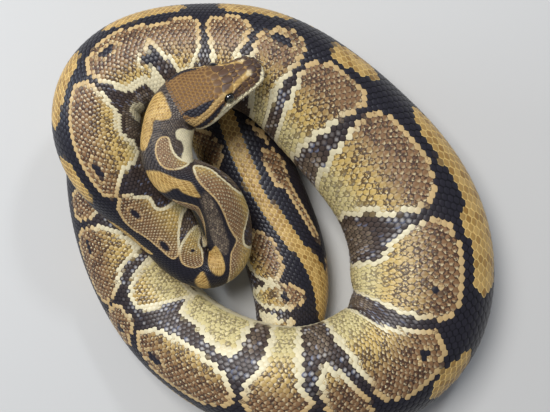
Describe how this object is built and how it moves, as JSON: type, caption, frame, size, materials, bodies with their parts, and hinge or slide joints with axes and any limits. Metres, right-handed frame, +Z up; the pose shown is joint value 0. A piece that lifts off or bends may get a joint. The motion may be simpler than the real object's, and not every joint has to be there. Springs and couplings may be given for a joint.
{
  "type": "coiled ball python",
  "caption": "Still life-size model of a ball python resting in a loose coil, head laid on its own coils, patterned scaly skin.",
  "frame": {"origin": "middle of the footprint's bounding box, on the surface the snake rests on", "axes": "+Z up, the coil's shortest extent; +X towards the widest stretch of the trunk, the way the snout points; +Y towards the head's side of the coil"},
  "size_m": [0.2363, 0.2451, 0.0994],
  "materials": {
    "skin": "dry satin snake scales, dark brown to black with tan, cream-edged blotches",
    "eye": "wet gloss, dark brown-green iris with an upright pupil, under a clear scale"
  },
  "bodies": {
    "root": {"head": "skin", "lower_jaw": "skin", "neck": "skin", "trunk_01": "skin", "trunk_02": "skin", "trunk_03": "skin", "trunk_04": "skin", "trunk_05": "skin", "trunk_06": "skin", "trunk_07": "skin", "trunk_08": "skin", "trunk_09": "skin", "trunk_10": "skin", "trunk_11": "skin", "trunk_12": "skin", "trunk_13": "skin", "trunk_14": "skin", "tail": "skin", "eye_left": "eye", "eye_right": "eye"}
  },
  "joints": []
}
